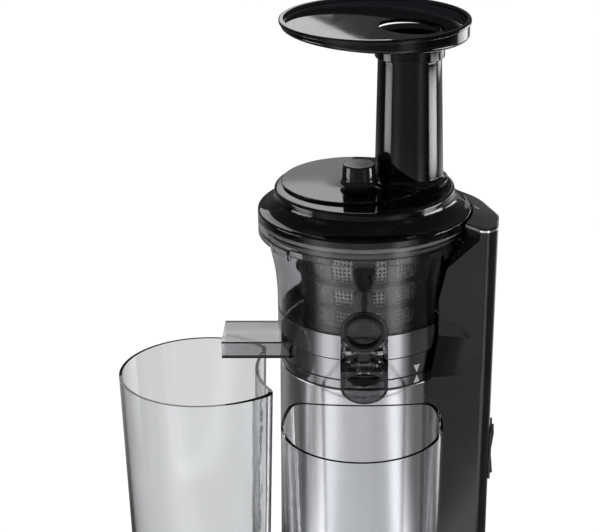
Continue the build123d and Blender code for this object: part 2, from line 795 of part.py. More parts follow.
def core_r(z):
    """Radius of the screw's tapering core."""
    levels = ((219.0, 33.0), (228.0, 30.0), (250.0, 25.0), (275.0, 19.5), (297.0, 13.5))
    for (low, wide), (high, narrow) in zip(levels, levels[1:]):
        if z <= high:
            return wide + (narrow - wide) * (z - low) / (high - low)
    return levels[-1][1]


def flight():
    """Left-handed squeezing flight, thick at the head and thin at the foot."""
    sections = []
    steps = 34
    for number in range(steps + 1):
        share = number / steps
        angle = math.radians(130 + share * FLIGHT_TURNS * 360)
        z = FLIGHT_TOP_Z - share * FLIGHT_TURNS * FLIGHT_PITCH
        half = 4.6 - 2.4 * share
        grow = min(1.0, 0.35 + 6 * share)
        outer = min(cone_r(STRAINER_FOOT_R, STRAINER_HEAD_R, z), STRAINER_HEAD_R) - STRAINER_WALL - 1.1
        inner = core_r(z) - 2.5
        outer = inner + (outer - inner) * grow
        corners = ((inner, z - half - 1.5), (outer, z - half), (outer, z + half), (inner, z + half + 1.5))
        points = [(r * math.cos(angle), r * math.sin(angle), h) for r, h in corners]
        sections.append(Wire.make_polygon([Vector(*point) for point in points], close=True))
    return Solid.make_loft(sections, ruled=True)


def screw():
    """Squeezing screw: sun gear and socket at the foot, tapering core, flight and head pin."""
    core = turned(
        (0, 200.0),
        (8.0, 200.0),
        (8.0, 222.8),
        (13.2, 222.8),
        (13.2, FLOOR_Z + 0.6),
        (15.0, FLOOR_Z + 0.6),
        (15.0, 216.9),
        (33.0, 216.9, 0.6),
        (33.0, 219.0, 2),
        (30.0, 228.0, 20),
        (25.0, 250.0, 60),
        (19.5, 275.0, 60),
        (13.5, 297.0, 5),
        (5.0, 299.5, 1),
        (5.0, 309.0, 1),
        (0, 309.0),
    )
    sun = slab(gear_face(SUN_TEETH, BRUSH_MODULE), FLOOR_Z + 0.6, 3.7) - disc(14, FLOOR_Z, 8)
    socket = slab(RegularPolygon(5.65, 6, major_radius=False), 199, 20)
    return core + sun + flight() - socket


# ---------------------------------------------------------------------------------------------
# Lid, feed tube and tray
# ---------------------------------------------------------------------------------------------
def lid():
    """Smoky lid: flat disc with a round shoulder, flared skirt, rim, feed tube and pin bearing."""
    dome = turned(
        (0, LID_TOP_Z),
        (63.9, LID_TOP_Z, 2.2),
        (64.4, 304.5, 8),
        (70.5, 297.8, 9),
        (FLANGE_R, 296.8, 1.6),
        (FLANGE_R, SPLIT_Z, 0.6),
        (71.0, SPLIT_Z),
        (71.0, 285.6),
        (68.9, 285.6),
        (68.9, 294.5, 5),
        (61.9, 302.5, 6),
        (60.8, 308.0, 3),
        (56.0, LID_TOP_Z - 2.6),
        (9.0, LID_TOP_Z - 2.6),
        (9.0, 301.5),
        (5.0 + RUN, 301.5),
        (5.0 + RUN, LID_TOP_Z - 2.2),
        (0, LID_TOP_Z - 2.2),
    )
    pipe = turned(
        (0, LID_TOP_Z - 2.6),
        (BOSS_R, LID_TOP_Z - 2.6),
        (BOSS_R, LID_TOP_Z + 3.2, 0.9),
        (TUBE_R + 1.2, LID_TOP_Z + 3.8, 1),
        (TUBE_R, LID_TOP_Z + 6.0, 2),
        (TUBE_TOP_R, 402.0),
        (TUBE_TOP_R, TUBE_TOP_Z, 0.6),
        (0, TUBE_TOP_Z),
    )
    bore = turned(
        (0, 300),
        (TUBE_R - TUBE_WALL, 300),
        (TUBE_R - TUBE_WALL, LID_TOP_Z),
        (TUBE_TOP_R - TUBE_WALL, 402),
        (TUBE_TOP_R - TUBE_WALL, 425),
        (0, 425),
    )
    bore &= disc(60, LID_TOP_Z - 3.4, 120)
    place = at_angle(TUBE_ANGLE) * Pos(TUBE_OFFSET, 0, 0)
    groove = turned((69.7, 287), (72, 287), (72, 289), (69.7, 289))
    table = turned((0, LID_TOP_Z - 1), (TABLE_R, LID_TOP_Z - 1), (TABLE_R, TABLE_Z, 0.6), (0, TABLE_Z))
    dome += Pos(*TABLE_AT, 0) * table
    return dome + place * pipe - place * bore - groove


def lid_seal():
    """Silicone ring in the lip's groove."""
    return turned((69.7, 287), (71.3, 287, 0.5), (71.3, 289, 0.5), (69.7, 289))


def lid_knob():
    """Round knob on the lid beside the tube, with a flared foot over a lower neck."""
    top = TABLE_Z
    knob = turned(
        (0, top),
        (11.2, top),
        (11.2, top + 2.3, 0.3),
        (13.6, top + 2.9, 0.3),
        (12.2, top + 5.5, 6),
        (11.3, top + 16.8, 1.0),
        (0, top + 16.8),
    )
    return Pos(*KNOB_AT, 0) * knob


def tray():
    """Round feeding tray: sloping floor, upright wall, rolled rim and the collar on the tube."""
    slope = Pos(0, 0, TRAY_FLOOR_Z) * Rot(0, TRAY_SLOPE, 0)
    rim = turned(
        (0, 405),
        (TRAY_R - 1.2, 405),
        (TRAY_R - 1.2, TOTAL_H - 3),
        (TRAY_R, TOTAL_H - 2.4, 0.6),
        (TRAY_R, TOTAL_H, 0.9),
        (0, TOTAL_H),
    )
    dish = rim & (slope * block((-90, 90), (-90, 90), (0, 60)))
    foot_edges = dish.faces().sort_by(Axis.Z)[0].edges()
    dish = fillet(foot_edges, 2.5)
    pocket = disc(TRAY_R - 3.0, 405, 60) & (slope * block((-90, 90), (-90, 90), (TRAY_WALL, 60)))
    pocket = fillet(pocket.faces().sort_by(Axis.Z)[0].edges(), 2.0)
    dish = at_angle(TRAY_ANGLE) * Pos(TRAY_OFFSET, 0, 0) * (dish - pocket)
    collar = turned(
        (TUBE_TOP_R + 0.1, 403.5),
        (TUBE_TOP_R + 2.1, 403.5, 0.8),
        (TUBE_TOP_R + 2.1, 421.0),
        (TUBE_TOP_R - 2.2, 421.0),
        (TUBE_TOP_R - 2.2, TUBE_TOP_Z + 0.3),
        (TUBE_TOP_R + 0.1, TUBE_TOP_Z + 0.3),
    )
    place = at_angle(TUBE_ANGLE) * Pos(TUBE_OFFSET, 0, 0)
    return dish - place * disc(TUBE_TOP_R - 0.2, 400, 40) + place * collar


# ---------------------------------------------------------------------------------------------
# Cups
# ---------------------------------------------------------------------------------------------
def hollow_x(cup, y, inset):
    """Distance from the base's axis to the cup's hollow side at a place across it."""
    radius, centre_x = cup["hollow"]
    across = y + cup["centre_y"]
    return centre_x + math.sqrt((radius + inset) ** 2 - across**2)


def cup_plan(cup, inset):
    """Cup plan: round outer side, narrowing flanks and a hollow side towards the base."""
    w = cup["half_width"] - inset
    centre = cup["far"] - cup["half_width"]
    side = cup["corner_y"] - inset
    upper = (hollow_x(cup, side, inset), side)
    lower = (hollow_x(cup, -side, inset), -side)
    front = ThreePointArc((centre, -w), (cup["far"] - inset, 0), (centre, w))
    left = TangentArc((centre, w), upper, tangent=(-1, 0))
    back = ThreePointArc(upper, (hollow_x(cup, 0, inset), 0), lower)
    right = TangentArc((centre, -w), lower, tangent=(-1, 0))
    face = make_face([front, left, back, right])
    corners = face.vertices().sort_by(Axis.X)[:2]
    return fillet(corners, 10 - 0.8 * inset)


def cup(shape):
    """Clear cup that narrows slightly to its foot."""
    draft = 4.0
    outer = loft([cup_plan(shape, draft), Pos(0, 0, CUP_H) * cup_plan(shape, 0)], ruled=True)
    low = cup_plan(shape, draft + CUP_WALL)
    inner = loft([Pos(0, 0, 3) * low, Pos(0, 0, CUP_H + 3) * cup_plan(shape, CUP_WALL)], ruled=True)
    return Pos(0, shape["centre_y"], 0) * (outer - inner)


# ---------------------------------------------------------------------------------------------
# Write every node
# ---------------------------------------------------------------------------------------------
def main():
    shut_cap, shut_seal = cap_parts()
    nodes = {
        "base_front_shell": front_shell(),
        "base_rear_housing": rear_housing(),
        "base_deck": deck(),
        "deck_band": deck_band(),
        "column_cap": column_cap(),
        "column_trim": column_trim(),
        "bottom_cover": bottom_cover(),
        "foot_ring": foot_ring(),
        "case_screws": case_screws(),
        "chassis_posts": chassis_posts(),
        "motor_lower_plate": motor_plate(14.0, 3.5, 4.0),
        "motor_upper_plate": motor_plate(92.0, 4.0, 4.0),
        "motor_can": motor_can(),
        "motor_stator": motor_stator(),
        "motor_windings": motor_windings(),
        "motor_rotor": motor_rotor(),
        "idler_gear": idler_gear(),
        "idler_pin": idler_pin(),
        "gearbox_case": gearbox_case(),
        "gearbox_lid": gearbox_lid(),
        "output_shaft": output_shaft(),
        "deck_seal": deck_seal(),
        "capacitor": capacitor(),
        "interlock_switch": interlock_switch(),
        "switch_frame": switch_frame(),
        "rocker_switch": rocker(),
        "cord_gland": cord_gland(),
        "bowl": bowl(),
        "spout": spout(),
        "chute": chute(),
        "bowl_band": band(BOWL_R, 62.05, 203.2, 221.6),
        "bowl_foot_ring": band(RING_R, 60.25, BOWL_Z, 202.4),
        "hub_seal": hub_seal(),
        "cap_hinge_pin": cap_pin(),
        "strainer_frame": strainer_frame(),
        "strainer_mesh": strainer_mesh(),
        "brush_frame": at_angle(ring_turn()) * brush_frame(),
        "brush_wipers": at_angle(ring_turn()) * brush_wipers(),
        "brush_gear": brush_gear(),
        "screw": screw(),
        "lid": lid(),
        "lid_seal": lid_seal(),
        "lid_knob": lid_knob(),
        "hopper_tray": tray(),
        "juice_cap": opened(shut_cap),
        "juice_cap_seal": opened(shut_seal),
        "juice_cup": at_angle(SPOUT_ANGLE) * cup(JUICE_CUP),
        "pulp_cup": at_angle(CHUTE_ANGLE) * cup(PULP_CUP),
    }
    for name, shape in nodes.items():
        save(shape, name)


if __name__ == "__main__":
    main()
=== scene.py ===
"""Vertical cold press juicer: stage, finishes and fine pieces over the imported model."""

import json
import math

import bpy
import numpy as np
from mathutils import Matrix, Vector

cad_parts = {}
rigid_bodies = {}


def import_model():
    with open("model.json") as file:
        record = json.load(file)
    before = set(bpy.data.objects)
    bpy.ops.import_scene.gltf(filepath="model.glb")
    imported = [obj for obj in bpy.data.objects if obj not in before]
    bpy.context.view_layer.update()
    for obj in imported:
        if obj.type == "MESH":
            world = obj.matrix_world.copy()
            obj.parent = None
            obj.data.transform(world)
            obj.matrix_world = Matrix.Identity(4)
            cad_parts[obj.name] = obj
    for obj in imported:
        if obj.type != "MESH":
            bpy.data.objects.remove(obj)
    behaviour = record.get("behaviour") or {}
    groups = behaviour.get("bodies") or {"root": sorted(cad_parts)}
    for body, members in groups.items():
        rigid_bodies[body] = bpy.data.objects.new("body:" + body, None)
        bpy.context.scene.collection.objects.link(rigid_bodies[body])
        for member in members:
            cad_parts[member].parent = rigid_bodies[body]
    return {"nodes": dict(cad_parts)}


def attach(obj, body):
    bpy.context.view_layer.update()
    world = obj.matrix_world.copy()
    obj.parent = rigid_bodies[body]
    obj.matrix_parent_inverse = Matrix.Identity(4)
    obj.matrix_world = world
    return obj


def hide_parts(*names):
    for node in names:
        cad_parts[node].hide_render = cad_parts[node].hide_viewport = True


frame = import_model()

bl_info = {
    "name": "Cold press juicer",
    "version": (1, 0, 0),
    "blender": (4, 5, 0),
    "location": "View3D > Sidebar > Juicer",
    "description": "Builds the juicer's finishes and fine pieces over its packed parts",
    "category": "Object",
}

NODES = frame["nodes"]
for spare in [o for o in bpy.data.objects if o.name in ("Cube", "Light", "Camera")]:
    bpy.data.objects.remove(spare)
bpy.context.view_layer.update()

# Colour sockets of the mix node, whose names its other data types share
MIX_FACTOR, MIX_A, MIX_B, MIX_RESULT = 0, 6, 7, 2


# ---------------------------------------------------------------------------------------------
# Node helpers for the finishes
# ---------------------------------------------------------------------------------------------
class Nodes:
    """A node tree with short ways to add nodes."""

    def __init__(self, tree):
        self.tree = tree

    def node(self, kind, **settings):
        """A new node with its settings."""
        made = self.tree.nodes.new(kind)
        for key, value in settings.items():
            setattr(made, key, value)
        return made

    def link(self, output, target):
        """Joins an output to an input."""
        self.tree.links.new(output, target)

    def arithmetic(self, operation, *values):
        """A step of arithmetic on outputs and plain numbers."""
        made = self.node("ShaderNodeMath", operation=operation)
        for place, value in zip(made.inputs, values):
            if isinstance(value, (int, float)):
                place.default_value = value
            else:
                self.link(value, place)
        return made.outputs["Value"]

    def ray_kinds(self):
        """1 for a ray that came through clear plastic off no mirror, and 1 for the viewer's own."""
        path = self.node("ShaderNodeLightPath").outputs
        unmirrored = self.arithmetic("LESS_THAN", path["Glossy Depth"], 0.5)
        clear = self.arithmetic("MULTIPLY", path["Is Transmission Ray"], unmirrored)
        return clear, path["Is Camera Ray"]


class Finish(Nodes):
    """A named material with its shader and its place on the part."""

    def __init__(self, name, colour, roughness, metallic=0.0):
        self.material = bpy.data.materials.new(name)
        self.material.use_nodes = True
        super().__init__(self.material.node_tree)
        self.shader = self.tree.nodes["Principled BSDF"]
        self.place = self.node("ShaderNodeTexCoord").outputs["Object"]
        self.normal = None
        self.shader.inputs["Base Color"].default_value = (*colour[:3], 1.0)
        self.shader.inputs["Roughness"].default_value = roughness
        self.shader.inputs["Metallic"].default_value = metallic

    def set(self, **sockets):
        """Constant values on the shader's own sockets, spaces written as underscores."""
        for key, value in sockets.items():
            self.shader.inputs[key.replace("_", " ")].default_value = value
        return self

    def stretched(self, scale):
        """The part's own coordinates, stretched along each axis."""
        mapping = self.node("ShaderNodeMapping")
        mapping.inputs["Scale"].default_value = scale
        self.link(self.place, mapping.inputs["Vector"])
        return mapping.outputs["Vector"]

    def noise(self, scale, detail=3.0, stretch=(1, 1, 1), distortion=0.0):
        """Cloudy noise with so many blobs a metre."""
        made = self.node("ShaderNodeTexNoise")
        made.inputs["Scale"].default_value = scale
        made.inputs["Detail"].default_value = detail
        made.inputs["Distortion"].default_value = distortion
        self.link(self.stretched(stretch), made.inputs["Vector"])
        return made.outputs["Fac"]

    def waves(self, scale, kind="BANDS", distortion=0.0):
        """Even waves, so many a metre up the Z axis as bands or away from it as rings."""
        made = self.node("ShaderNodeTexWave", wave_type=kind)
        made.bands_direction = made.rings_direction = "Z"
        made.inputs["Scale"].default_value = scale
        made.inputs["Distortion"].default_value = distortion
        self.link(self.place, made.inputs["Vector"])
        return made.outputs["Fac"]

    def cells(self, scale, feature="F1", stretch=(1, 1, 1)):
        """Distance to scattered points, so many a metre."""
        made = self.node("ShaderNodeTexVoronoi", feature=feature)
        made.inputs["Scale"].default_value = scale
        self.link(self.stretched(stretch), made.inputs["Vector"])
        return made.outputs["Distance"]

    def spread(self, value, low, high, start=0.3, end=0.7):
        """Maps a value from one span to another."""
        made = self.node("ShaderNodeMapRange")
        made.inputs["From Min"].default_value = start
        made.inputs["From Max"].default_value = end
        made.inputs["To Min"].default_value = low
        made.inputs["To Max"].default_value = high
        self.link(value, made.inputs["Value"])
        return made.outputs["Result"]

    def rough(self, value, low, high, start=0.3, end=0.7):
        """Roughness that follows a value."""
        self.link(self.spread(value, low, high, start, end), self.shader.inputs["Roughness"])
        return self

    def tint(self, value, colour_a, colour_b, start=0.3, end=0.7):
        """Colour that changes from one shade to another with a value."""
        ramp = self.node("ShaderNodeValToRGB")
        ramp.color_ramp.elements[0].position = start
        ramp.color_ramp.elements[1].position = end
        ramp.color_ramp.elements[0].color = (*colour_a[:3], 1.0)
        ramp.color_ramp.elements[1].color = (*colour_b[:3], 1.0)
        self.link(value, ramp.inputs["Fac"])
        self.link(ramp.outputs["Color"], self.shader.inputs["Base Color"])
        return self

    def bump(self, value, strength, depth):
        """Relief of so many metres on top of the relief that is already there."""
        made = self.node("ShaderNodeBump")
        made.inputs["Strength"].default_value = strength
        made.inputs["Distance"].default_value = depth
        self.link(value, made.inputs["Height"])
        if self.normal:
            self.link(self.normal, made.inputs["Normal"])
        self.normal = made.outputs["Normal"]
        self.link(self.normal, self.shader.inputs["Normal"])
        return self


def shade(colour, factor):
    """A lighter or darker version of a colour."""
    return tuple(min(1.0, channel * factor) for channel in colour[:3])


def satin_metal(name, colour):
    """Satin lacquered metal skin: fine level brushing and cloudy smudges."""
    made = Finish(name, colour, 0.21, 1.0)
    brushing = made.noise(60, 4, (1, 1, 40))
    smudges = made.noise(14, 5)
    made.tint(smudges, shade(colour, 0.93), shade(colour, 1.04))
    made.rough(smudges, 0.18, 0.25)
    made.bump(brushing, 0.10, 0.00004)
    return made.material


def dark_chrome(name, colour):
    """Smoked chrome of the bowl's bands: near-mirror skin, wiped smudges, fine level hairlines."""
    made = Finish(name, colour, 0.12, 1.0)
    smudges = made.noise(18, 5, distortion=0.4)
    made.tint(smudges, shade(colour, 0.92), shade(colour, 1.05))
    made.rough(smudges, 0.10, 0.17)
    made.bump(made.noise(70, 4, (1, 1, 50)), 0.06, 0.00003)
    return made.material


def lacquer_black(name, colour):
    """Deep gloss black moulding: faint orange peel, wiped haze and hairline marks."""
    made = Finish(name, colour, 0.10)
    haze = made.noise(22, 5, distortion=0.6)
    hairs = made.cells(260, "DISTANCE_TO_EDGE", (1, 1, 0.15))
    made.tint(haze, colour, shade(colour, 1.6))
    made.rough(haze, 0.07, 0.17)
    made.bump(made.noise(420, 2), 0.10, 0.00004)
    made.bump(made.spread(hairs, 0, 1, 0.0, 0.01), 0.05, 0.00002)
    return made.set(Specular_IOR_Level=0.35, Coat_Weight=0.12, Coat_Roughness=0.05).material


def grained_plastic(name, colour, roughness=0.5):
    """Moulded plastic with a spark grain, slightly paler where it is rubbed."""
    made = Finish(name, colour, roughness)
    rubbed = made.noise(35, 6)
    made.tint(rubbed, shade(colour, 0.9), shade(colour, 1.35))
    made.rough(rubbed, roughness - 0.08, roughness + 0.1)
    made.bump(made.noise(1500, 2), 0.25, 0.00006)
    return made.material


def smoked(name, colour, roughness=0.03, gloss=0.6):
    """Smoke-tinted clear plastic: flow lines from moulding and wiped haze."""
    made = Finish(name, colour, roughness)
    haze = made.noise(26, 5, distortion=0.4)
    made.tint(haze, shade(colour, 0.92), shade(colour, 1.06))
    made.rough(haze, roughness, roughness + 0.03)
    made.bump(made.noise(60, 2, (1, 1, 0.3)), 0.08, 0.0001)
    return made.set(Transmission_Weight=1.0, IOR=1.47, Specular_IOR_Level=gloss).material


def clear_plastic(name, colour):
    """Water-clear plastic of the cups: soft flow lines and patches of light scuffs."""
    made = Finish(name, colour, 0.02)
    scuffs = made.noise(90, 6, (1, 1, 0.5))
    made.rough(scuffs, 0.01, 0.07, 0.45, 0.8)
    made.bump(made.noise(18, 2, (1, 1, 0.2)), 0.06, 0.0002)
    return made.set(Transmission_Weight=1.0, IOR=1.47).material


def soft_rubber(name, colour, dusty=0.15):
    """Silicone or rubber: fine matt grain and a trace of dust."""
    made = Finish(name, colour, 0.6)
    dust = made.noise(70, 5)
    made.tint(dust, shade(colour, 0.85), shade(colour, 1.3))
    made.rough(dust, 0.5, 0.7)
    made.bump(made.noise(900, 3), 0.3, 0.00005)
    return made.set(Sheen_Weight=dusty).material


def turned_steel(name, colour):
    """Plain steel with turning marks and thin wear."""
    made = Finish(name, colour, 0.3, 1.0)
    made.rough(made.noise(80, 5), 0.22, 0.42)
    made.tint(made.noise(25, 4), shade(colour, 0.85), shade(colour, 1.05))
    made.bump(made.noise(90, 3, (1, 1, 14)), 0.2, 0.00004)
    return made.material


def bright_strip(name, colour):
    """Polished thin trim with light wipe marks."""
    made = Finish(name, colour, 0.08, 1.0)
    made.rough(made.noise(90, 4), 0.05, 0.16)
    made.bump(made.noise(300, 2), 0.05, 0.00002)
    return made.material


def stacked_sheets(name, colour):
    """Stack of thin electrical sheets: fine level lines and dull patches."""
    made = Finish(name, colour, 0.5, 0.9)
    made.tint(made.noise(60, 4), shade(colour, 0.7), shade(colour, 1.2))
    made.rough(made.noise(120, 3), 0.4, 0.6)
    made.bump(made.waves(320), 0.5, 0.0002)
    return made.material


def wound_wire(name, colour):
    """Lacquered copper wire laid in turns."""
    made = Finish(name, colour, 0.25, 1.0)
    made.tint(made.noise(150, 4), shade(colour, 0.75), shade(colour, 1.1))
    made.rough(made.noise(90, 4), 0.2, 0.38)
    made.bump(made.waves(260, "RINGS", 0.6), 0.8, 0.0004)
    return made.set(Coat_Weight=0.5, Coat_Roughness=0.1).material


def sand_cast(name, colour):
    """Die-cast alloy skin with a fine pebbled surface."""
    made = Finish(name, colour, 0.45, 1.0)
    made.tint(made.noise(40, 5), shade(colour, 0.85), shade(colour, 1.1))
    made.rough(made.noise(160, 4), 0.36, 0.55)
    made.bump(made.cells(500), 0.25, 0.0001)
    return made.material


def fine_steel(name, colour):
    """Etched steel screen: bright lands and slightly duller etched edges."""
    made = Finish(name, colour, 0.28, 0.6)
    made.tint(made.noise(200, 3), shade(colour, 0.85), shade(colour, 1.1))
    made.rough(made.noise(300, 3), 0.22, 0.4)
    made.bump(made.noise(700, 2), 0.15, 0.00003)
    return made.material


def printed_white(name, colour):
    """Printed mark: opaque ink with a faint edge grain."""
    made = Finish(name, colour, 0.4)
    made.tint(made.noise(500, 3), shade(colour, 0.94), colour)
    made.rough(made.noise(400, 2), 0.35, 0.5)
    made.bump(made.noise(900, 2), 0.1, 0.00002)
    return made.material


# ---------------------------------------------------------------------------------------------
# Meshes, with sizes in metres and turns in radians
# ---------------------------------------------------------------------------------------------
SCREEN_FOOT, SCREEN_HEIGHT, SCREEN_MEAN_RADIUS = 0.217, 0.064, 0.0428
CONE_FOOT, CONE_HEIGHT, CONE_RADIUS, CONE_GROWTH = 0.216, 0.066, 0.03995, 0.0058
HOLE_SHARE = 0.62
SHEET = 0.0003
COIL_RADIUS, COIL_HALF_WIDTH, COIL_HALF_HEIGHT = 0.031, 0.00505, 0.00405
WIRE_RADIUS = 0.00045
LOWER_COIL, UPPER_COIL = 0.026, 0.084
MARK_RADIUS, MARK_TURN = 0.0615, math.radians(-3)
BOWL_TIP, BASE_TIP = 0.1888, 0.1859
TIP_HALF_WIDTH, MARK_SINK = 0.0002, 0.0001
LID_TICK = ((0.0370, 0.0588), (0.0438, 0.0578))
COLUMN_TICK = ((0.0472, 0.0628), (0.0540, 0.0611))
ABOVE_ALL = 0.5  # a height over every part


def quads(rows, columns, ring):
    """Corner numbers of a grid's faces; with ring the last column joins the first."""
    lower = np.arange(rows - 1)[:, None] * columns
    upper = lower + columns
    left = np.arange(columns if ring else columns - 1)
    right = (left + 1) % columns
    faces = np.stack([lower + left, lower + right, upper + right, upper + left], -1)
    return faces.reshape(-1, 4)


def piece(name, points, faces, material, body, smooth=True):
    """A new piece from arrays of points and faces that rides on a body."""
    mesh = bpy.data.meshes.new(name)
    points = np.asarray(points, float).reshape(-1, 3)
    mesh.from_pydata(points.tolist(), [], [tuple(face) for face in np.asarray(faces).tolist()])
    mesh.validate()
    mesh.polygons.foreach_set("use_smooth", np.full(len(mesh.polygons), smooth))
    mesh.materials.append(material)
    mesh.update()
    made = bpy.data.objects.new(name, mesh)
    bpy.context.scene.collection.objects.link(made)
    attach(made, body)
    return made


def punched_screen(pitch):
    """Cone with an eight-sided hole in the middle of every cell.

    The radius grows evenly with height, r(z) = 39.95 + 5.8 (z - 216) / 66 in mm, from z 217 to 281.
    A cell's edge has eight points at half steps. Its hole has eight more at 0.62 of a half step.
    """
    around = round(2 * math.pi * SCREEN_MEAN_RADIUS / pitch)
    up = round(SCREEN_HEIGHT / pitch)
    compass = np.array([(-1, -1), (0, -1), (1, -1), (1, 0), (1, 1), (0, 1), (-1, 1), (-1, 0)])
    grid = np.stack(np.meshgrid(np.arange(around), np.arange(up), indexing="ij"), -1)
    cells = grid.reshape(-1, 1, 2) * 2 + 1
    turns = np.arctan2(compass[:, 1], compass[:, 0])
    holes = cells + HOLE_SHARE * np.stack([np.cos(turns), np.sin(turns)], -1)
    edges = (cells + compass).reshape(-1, 2)
    edges[:, 0] %= 2 * around
    shared, number = np.unique(edges, axis=0, return_inverse=True)
    number = number.reshape(-1, 8)
    inner = len(shared) + np.arange(number.size).reshape(-1, 8)
    faces = np.stack([number, np.roll(number, -1, 1), np.roll(inner, -1, 1), inner], -1)
    places = np.concatenate([shared, holes.reshape(-1, 2)])
    angle = places[:, 0] * math.pi / around
    height = SCREEN_FOOT + SCREEN_HEIGHT * places[:, 1] / (2 * up)
    radius = CONE_RADIUS + CONE_GROWTH * (height - CONE_FOOT) / CONE_HEIGHT
    points = np.stack([radius * np.cos(angle), radius * np.sin(angle), height], -1)
    return points, faces.reshape(-1, 4)


def coil_turns(middle, turns=150, steps=14, sides=6):
    """Lacquered wire wound round a ring of 31 mm radius.

    The angle p goes from 0 to 2 pi in every turn, and q goes once round the ring in all the turns.
    The wire's middle lies at angle q, radius 31 + 5.05 s(cos p) and height middle + 4.05 s(sin p)
    in mm, where s(v) = sign(v) |v|^(2/3).
    """
    count = turns * steps
    p = np.arange(count) * 2 * math.pi / steps
    q = np.arange(count) * 2 * math.pi / count
    bent = [np.sign(v) * np.abs(v) ** (2 / 3) for v in (np.cos(p), np.sin(p))]
    out = np.stack([np.cos(q), np.sin(q), 0 * q], -1)
    up = np.array([0, 0, 1.0])
    line = out * (COIL_RADIUS + COIL_HALF_WIDTH * bent[0])[:, None]
    line = line + up * (middle + COIL_HALF_HEIGHT * bent[1])[:, None]
    away = out * np.cos(p)[:, None] + up * np.sin(p)[:, None]
    side = np.stack([-np.sin(q), np.cos(q), 0 * q], -1)
    r = np.linspace(0, 2 * math.pi, sides, endpoint=False)
    round_wire = away[:, None] * np.cos(r)[:, None] + side[:, None] * np.sin(r)[:, None]
    rings = line[:, None] + WIRE_RADIUS * round_wire
    faces = quads(count, sides, True)
    last = (count - 1) * sides + np.arange(sides)
    after = np.roll(last, -1)
    join = np.stack([last, after, after % sides, last % sides], -1)
    return rings.reshape(-1, 3), np.concatenate([faces, join])


def dash(node, start, end, wide=0.0011, lift=0.00008, rows=13, columns=5):
    """A thin painted dash on a CAD node, as a grid of points dropped on it from above.

    Each point lies where a plumb line meets the node, moved out by the lift along its normal.
    """
    start, end = np.array(start), np.array(end)
    across = np.array([start[1] - end[1], end[0] - start[0]]) / np.linalg.norm(end - start)
    half = wide / 2
    t, w = np.meshgrid(np.linspace(0, 1, rows), np.linspace(-half, half, columns), indexing="ij")
    flat = start + t[..., None] * (end - start) + w[..., None] * across
    down = Vector((0, 0, -1))
    points = []
    for x, y in flat.reshape(-1, 2):
        _, place, normal, _ = NODES[node].ray_cast(Vector((x, y, ABOVE_ALL)), down)
        points.append(place + normal * lift)
    return np.array([tuple(point) for point in points]), quads(rows, columns, False)


def triangle(tip, foot, turn, radius, wide=0.0052, thick=0.00012, rows=7, columns=9):
    """A thin triangle wrapped on an upright cylinder: its angle is its width over the radius.

    Its two skins lie just under and just over the cylinder, and a rim of faces joins them.
    """
    levels = np.linspace(tip, foot, rows)
    halves = np.linspace(TIP_HALF_WIDTH, wide / 2, rows)
    angles = turn + halves[:, None] * np.linspace(-1, 1, columns) / radius
    heights = np.broadcast_to(levels[:, None], angles.shape)
    skins = [
        np.stack([r * np.cos(angles), r * np.sin(angles), heights], -1)
        for r in (radius - MARK_SINK, radius + thick)
    ]
    grid = quads(rows, columns, False)
    number = np.arange(rows * columns).reshape(rows, columns)
    edge = np.concatenate([number[0], number[1:, -1], number[-1, -2::-1], number[-2:0:-1, 0]])
    follow = np.roll(edge, -1)
    side = np.stack([edge, follow, follow + number.size, edge + number.size], -1)
    if tip > foot:
        faces = [grid, grid[:, ::-1] + number.size, side[:, ::-1]]
    else:
        faces = [grid[:, ::-1], grid + number.size, side]
    return np.concatenate(skins).reshape(-1, 3), np.concatenate(faces)


def finish_nodes(material, *names):
    """Gives one finish to several CAD nodes."""
    for name in names:
        for place in NODES[name].material_slots:
            place.material = material


# ---------------------------------------------------------------------------------------------
# Settings
# ---------------------------------------------------------------------------------------------
def colour_setting(name, description, value):
    """A colour that the user may change."""
    return bpy.props.FloatVectorProperty(
        name=name, description=description, subtype="COLOR", size=3, min=0, max=1, default=value
    )


def length_setting(name, description, value):
    """A length that the user may change."""
    return bpy.props.FloatProperty(
        name=name, description=description, unit="LENGTH", min=0, default=value
    )


class JuicerColours(bpy.types.PropertyGroup):
    """Colours of the juicer's finishes."""

    metal: colour_setting("Metal skin", "Satin metal of the base", (0.74, 0.73, 0.75))
    bands: colour_setting("Bands", "Smoked chrome of the bowl's bands", (0.36, 0.35, 0.37))
    column: colour_setting("Column", "Gloss black of the rear column", (0.010, 0.010, 0.013))
    bowl: colour_setting("Bowl", "Smoke tint of the bowl", (0.66, 0.65, 0.67))
    lid: colour_setting("Lid", "Smoke tint of lid, feed tube and tray", (0.06, 0.05, 0.065))
    cup: colour_setting("Cups", "Tint of the clear cups", (0.96, 0.97, 0.98))
    screw: colour_setting("Screw", "Plastic of the squeezing screw", (0.035, 0.035, 0.04))


class JuicerSizes(bpy.types.PropertyGroup):
    """Sizes of the juicer's fine pieces."""

    hole: length_setting("Screen hole", "Distance between the strainer's holes", 0.003)
    mark: length_setting("Mark", "Height of the two triangles at the bowl's seam", 0.0053)
    floor: length_setting("Floor", "Width of the floor", 8.0)


